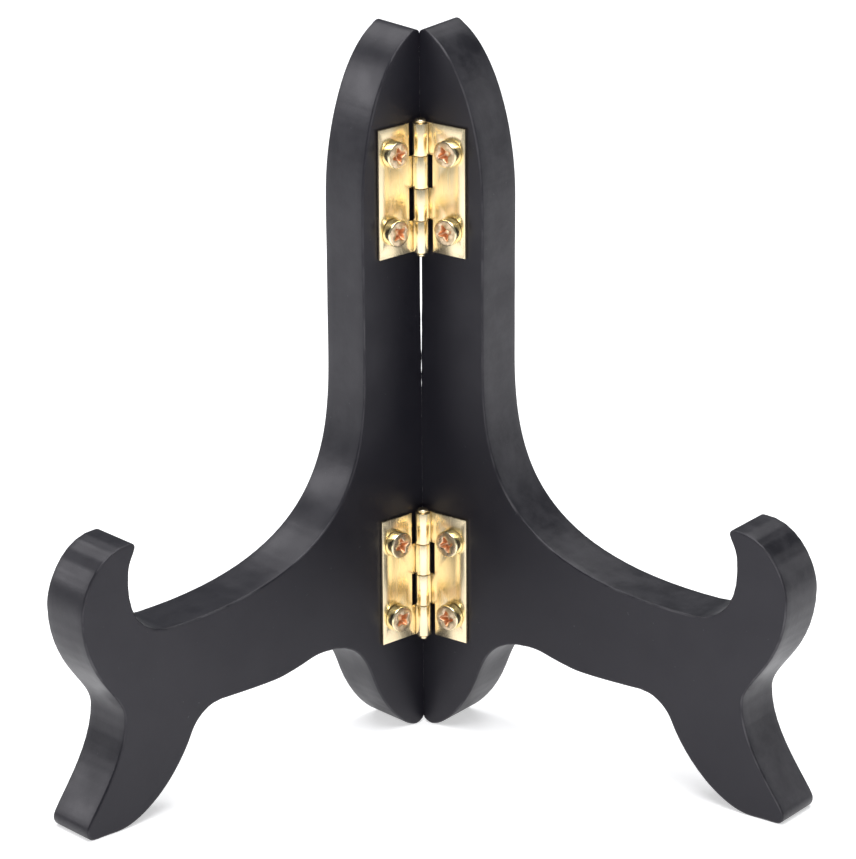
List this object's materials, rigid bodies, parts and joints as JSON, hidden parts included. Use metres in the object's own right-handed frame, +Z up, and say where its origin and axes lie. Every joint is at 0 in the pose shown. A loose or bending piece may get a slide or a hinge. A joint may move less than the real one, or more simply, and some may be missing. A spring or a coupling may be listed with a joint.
{
  "type": "photo album stand",
  "caption": "Folding photo album stand: hooked black wooden panels joined along their spines by brass butt hinges, standing open in a V.",
  "frame": {"origin": "on the floor, at the middle of the stand's box in X and Y", "axes": "+Z up the spine, +X from the left foot to the right foot, the open side of the V towards -Y"},
  "size_m": [0.1424, 0.0607, 0.1404],
  "materials": {
    "black_paint": "thin matt black paint over sanded board, a little paler along the worn edges",
    "hinge_brass": "bright pressed brass sheet",
    "screw_brass": "bright brass plate, darker and redder in the cross recess"
  },
  "bodies": {
    "left_side": {"left_panel": "black_paint", "upper_hinge_left_leaf": "hinge_brass", "upper_hinge_left_top_screw": "screw_brass", "upper_hinge_left_bottom_screw": "screw_brass", "upper_hinge_pin": "hinge_brass", "lower_hinge_left_leaf": "hinge_brass", "lower_hinge_left_top_screw": "screw_brass", "lower_hinge_left_bottom_screw": "screw_brass", "lower_hinge_pin": "hinge_brass"},
    "right_side": {"right_panel": "black_paint", "upper_hinge_right_leaf": "hinge_brass", "upper_hinge_right_top_screw": "screw_brass", "upper_hinge_right_bottom_screw": "screw_brass", "lower_hinge_right_leaf": "hinge_brass", "lower_hinge_right_top_screw": "screw_brass", "lower_hinge_right_bottom_screw": "screw_brass"}
  },
  "joints": [
    {"name": "fold", "type": "hinge", "parent": "left_side", "child": "right_side", "pos_m": [0, 0.02007, 0.0711], "axis": [0, 0, -1], "range_deg": [0, 65]}
  ]
}
